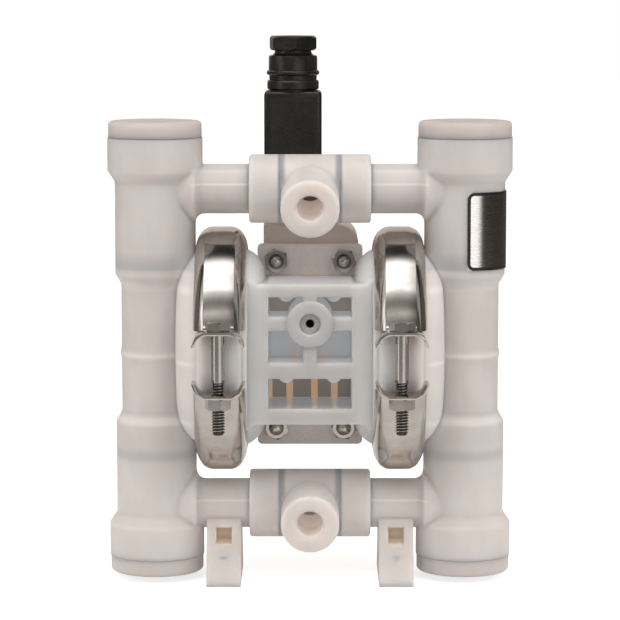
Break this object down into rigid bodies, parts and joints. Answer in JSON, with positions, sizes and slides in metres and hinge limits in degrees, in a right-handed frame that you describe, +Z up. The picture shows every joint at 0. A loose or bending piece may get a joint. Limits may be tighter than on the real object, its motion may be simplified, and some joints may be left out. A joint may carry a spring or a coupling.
{
  "type": "air operated diaphragm pump",
  "caption": "Compact air operated diaphragm pump with clear plastic body, steel clamp bands, swivelling threaded tees and a solenoid air valve behind.",
  "frame": {"origin": "middle of the feet's screw pattern, on the ground plane, under the middle of the shaft", "axes": "+X along the shaft, +Z up, the two liquid ports face -Y"},
  "size_m": [0.1804, 0.143, 0.2427],
  "materials": {
    "body_plastic": "natural translucent polypropylene, moulded satin",
    "tee_plastic": "natural translucent polypropylene, cooler and lighter",
    "centre_plastic": "natural translucent polypropylene, cool white",
    "polished_steel": "polished stainless sheet",
    "fastener_steel": "plain stainless fasteners",
    "shaft_steel": "ground stainless bar",
    "piston_plastic": "moulded plastic",
    "diaphragm_rubber": "black elastomer",
    "seal_rubber": "black elastomer",
    "valve_plastic": "natural moulded plastic",
    "ball_ptfe": "turned white ball",
    "gasket_tan": "tan elastomer sheet",
    "grey_plastic": "warm grey moulded plastic",
    "grey_valve": "warm grey painted casting",
    "coil_black": "black coil encapsulation",
    "connector_black": "black moulded nylon",
    "button_red": "small moulded button",
    "silencer_bronze": "sintered bronze",
    "bare_foil": "bare foil with a dark border line"
  },
  "bodies": {
    "pump_body": {"adapter_plate": "grey_plastic", "adapter_screws": "fastener_steel", "cap_o_rings": "seal_rubber", "centre_section": "centre_plastic", "clamp_band_lower_left": "polished_steel", "clamp_band_lower_right": "polished_steel", "clamp_band_upper_left": "polished_steel", "clamp_band_upper_right": "polished_steel", "clamp_bolts": "fastener_steel", "clamp_nuts": "fastener_steel", "coil_nut": "fastener_steel", "connector_gasket": "seal_rubber", "connector_housing": "connector_black", "diaphragm_left": "diaphragm_rubber", "diaphragm_right": "diaphragm_rubber", "end_cap_bottom_left": "body_plastic", "end_cap_bottom_right": "body_plastic", "end_cap_top_left": "body_plastic", "end_cap_top_right": "body_plastic", "gland_body": "connector_black", "gland_nut": "connector_black", "inlet_ball_cage_left": "valve_plastic", "inlet_ball_cage_right": "valve_plastic", "inlet_valve_seat_left": "valve_plastic", "inlet_valve_seat_right": "valve_plastic", "liquid_chamber_left": "body_plastic", "liquid_chamber_right": "body_plastic", "outlet_ball_cage_left": "valve_plastic", "outlet_ball_cage_right": "valve_plastic", "outlet_valve_seat_left": "valve_plastic", "outlet_valve_seat_right": "valve_plastic", "pilot_head": "grey_valve", "rating_plate": "bare_foil", "seat_o_rings": "seal_rubber", "shaft_bushings": "valve_plastic", "shaft_seals": "seal_rubber", "silencer": "silencer_bronze", "solenoid_coil": "coil_black", "tee_o_rings": "seal_rubber", "valve_body": "grey_valve", "valve_end_cover": "grey_valve", "valve_gasket": "gasket_tan", "valve_nuts": "fastener_steel", "valve_studs": "fastener_steel"},
    "shaft_assembly": {"shaft": "shaft_steel", "inner_piston_left": "piston_plastic", "inner_piston_right": "piston_plastic", "outer_piston_left": "piston_plastic", "outer_piston_right": "piston_plastic", "diaphragm_centre_left": "diaphragm_rubber", "diaphragm_centre_right": "diaphragm_rubber"},
    "outlet_ball_left": {"outlet_ball_left": "ball_ptfe"},
    "outlet_ball_right": {"outlet_ball_right": "ball_ptfe"},
    "inlet_ball_left": {"inlet_ball_left": "ball_ptfe"},
    "inlet_ball_right": {"inlet_ball_right": "ball_ptfe"},
    "outlet_tee": {"outlet_tee": "tee_plastic"},
    "inlet_tee": {"inlet_tee": "tee_plastic"},
    "valve_spool": {"valve_spool": "shaft_steel"},
    "override_button": {"override_button": "button_red"}
  },
  "joints": [
    {"name": "shaft_stroke", "type": "slide", "parent": "pump_body", "child": "shaft_assembly", "axis": [1, 0, 0], "range_m": [-0.004, 0.004]},
    {"name": "outlet_ball_left_lift", "type": "slide", "parent": "pump_body", "child": "outlet_ball_left", "axis": [0, 0, 1], "range_m": [0, 0.0035]},
    {"name": "outlet_ball_right_lift", "type": "slide", "parent": "pump_body", "child": "outlet_ball_right", "axis": [0, 0, 1], "range_m": [0, 0.0035]},
    {"name": "inlet_ball_left_lift", "type": "slide", "parent": "pump_body", "child": "inlet_ball_left", "axis": [0, 0, 1], "range_m": [0, 0.0035]},
    {"name": "inlet_ball_right_lift", "type": "slide", "parent": "pump_body", "child": "inlet_ball_right", "axis": [0, 0, 1], "range_m": [0, 0.0035]},
    {"name": "outlet_tee_swivel", "type": "hinge", "parent": "pump_body", "child": "outlet_tee", "pos_m": [0, 0, 0.1755], "axis": [1, 0, 0], "range_deg": [-102, 33]},
    {"name": "inlet_tee_swivel", "type": "hinge", "parent": "pump_body", "child": "inlet_tee", "pos_m": [0, 0, 0.0335], "axis": [1, 0, 0], "range_deg": [-67, 23]},
    {"name": "spool_shift", "type": "slide", "parent": "pump_body", "child": "valve_spool", "axis": [0, 0, 1], "range_m": [0, 0.004], "stiffness_N_per_m": 300, "springref_m": -0.004},
    {"name": "override_push", "type": "slide", "parent": "pump_body", "child": "override_button", "axis": [-1, 0, 0], "range_m": [0, 0.0015], "stiffness_N_per_m": 400, "springref_m": -0.001}
  ]
}
